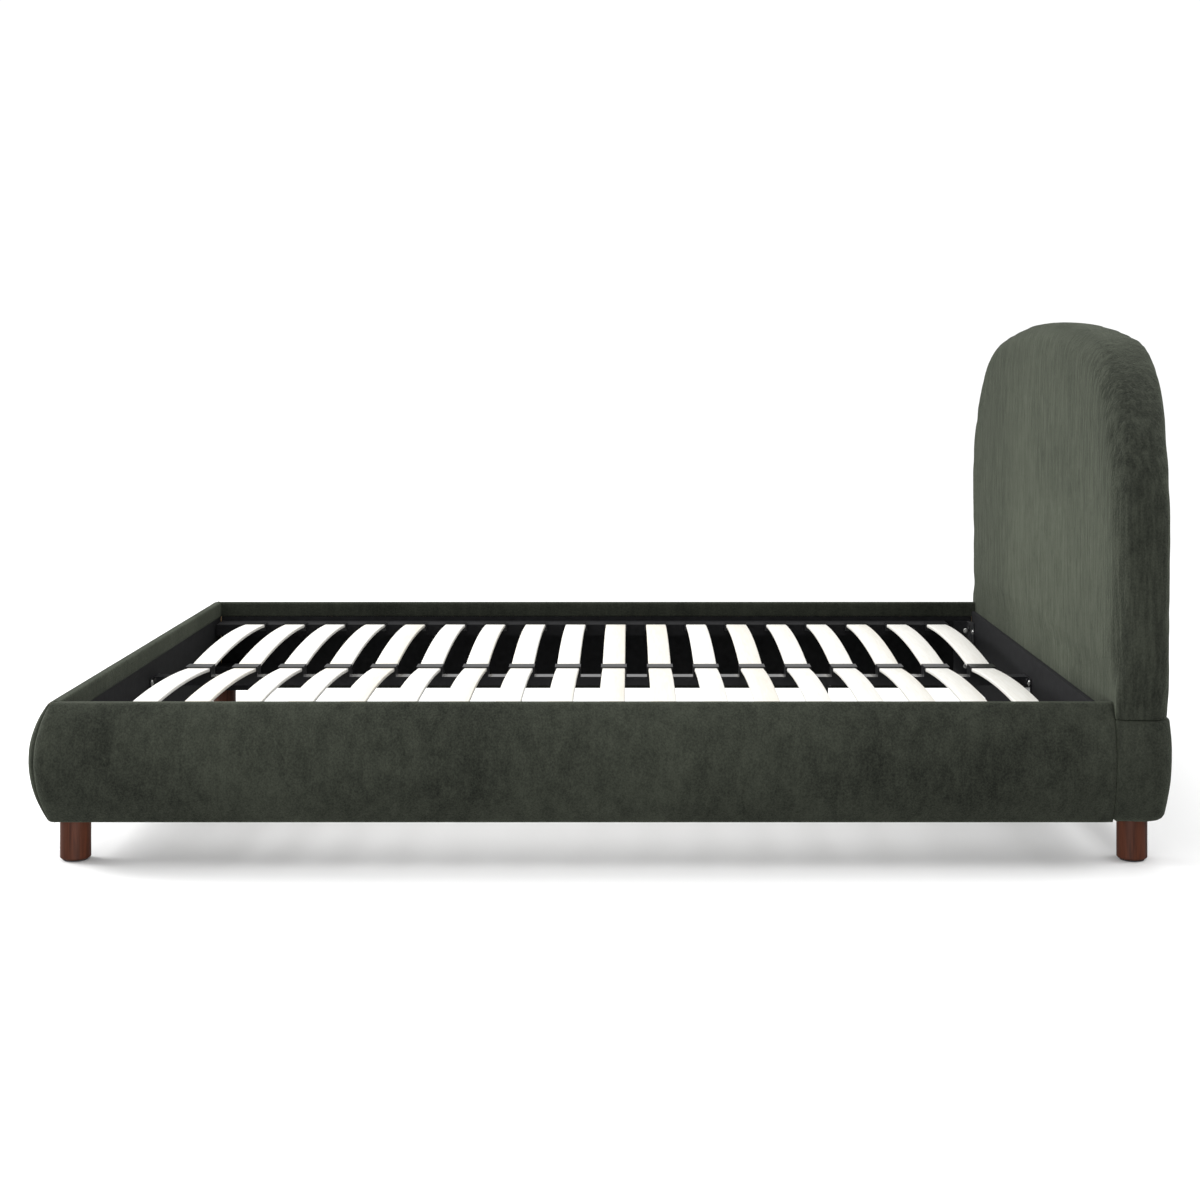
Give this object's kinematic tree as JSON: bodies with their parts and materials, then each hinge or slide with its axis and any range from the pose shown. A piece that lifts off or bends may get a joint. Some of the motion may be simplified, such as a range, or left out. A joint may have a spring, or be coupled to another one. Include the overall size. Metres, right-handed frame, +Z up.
{
  "type": "bed",
  "caption": "Upholstered platform bed with a tall arched headboard, low bulged side and foot rails, bowed slats either side of a centre beam, and round wooden legs.",
  "frame": {"origin": "on the floor under the middle of the bed, at the middle of its length and width", "axes": "+X towards the headboard, +Y towards the far side, +Z up"},
  "size_m": [2.2309, 1.69, 1.073],
  "materials": {
    "velvet": "dark green chenille velvet, fine mottled pile",
    "foam": "upholstery foam, hidden under the cloth",
    "plywood": "raw plywood and softwood, hidden",
    "lining": "black woven lining cloth",
    "ledge": "wood wrapped in black cloth",
    "black_steel": "black powder coat, fine texture",
    "zinc": "bright zinc plating",
    "plastic": "black moulded plastic",
    "foot_plastic": "black nylon pad on a zinc-plated screw",
    "birch": "pale laminated birch, satin",
    "walnut": "turned hardwood, reddish walnut stain, satin",
    "felt": "black felt"
  },
  "bodies": {
    "bed": {"headboard_cover": "velvet", "headboard_base_cover": "velvet", "headboard_front_foam": "foam", "headboard_rim_foam": "foam", "headboard_rear_foam": "foam", "headboard_base_foam": "foam", "headboard_front_panel": "plywood", "headboard_rear_panel": "plywood", "headboard_arch_rim": "plywood", "headboard_post_near": "plywood", "headboard_post_far": "plywood", "headboard_cross_rails": "plywood", "rail_near_cover": "velvet", "rail_near_foam": "foam", "rail_near_board": "plywood", "rail_near_lining": "lining", "rail_near_ledge": "ledge", "rail_far_cover": "velvet", "rail_far_foam": "foam", "rail_far_board": "plywood", "rail_far_lining": "lining", "rail_far_ledge": "ledge", "foot_rail_cover": "velvet", "foot_rail_foam": "foam", "foot_rail_board": "plywood", "foot_rail_lining": "lining", "head_panel": "lining", "foot_corner_blocks": "ledge", "corner_brackets": "black_steel", "corner_bracket_bolts": "zinc", "rail_joint_bolts": "zinc", "centre_beam": "black_steel", "beam_end_plugs": "plastic", "beam_brackets": "black_steel", "beam_bracket_bolts": "zinc", "support_leg_head": "black_steel", "support_leg_foot": "black_steel", "support_leg_nuts": "zinc", "slats_near": "birch", "slats_far": "birch", "side_caps_near": "plastic", "side_caps_far": "plastic", "centre_caps": "plastic", "leg_foot_near": "walnut", "leg_foot_far": "walnut", "leg_head_near": "walnut", "leg_head_far": "walnut", "leg_hanger_bolts": "zinc", "leg_glides": "felt"},
    "levelling_foot_head": {"levelling_foot_head": "foot_plastic"},
    "levelling_foot_foot": {"levelling_foot_foot": "foot_plastic"}
  },
  "joints": [
    {"name": "levelling_screw_head", "type": "slide", "parent": "bed", "child": "levelling_foot_head", "axis": [0, 0, 1], "range_m": [0, 0.015]},
    {"name": "levelling_screw_foot", "type": "slide", "parent": "bed", "child": "levelling_foot_foot", "axis": [0, 0, 1], "range_m": [0, 0.015]}
  ]
}
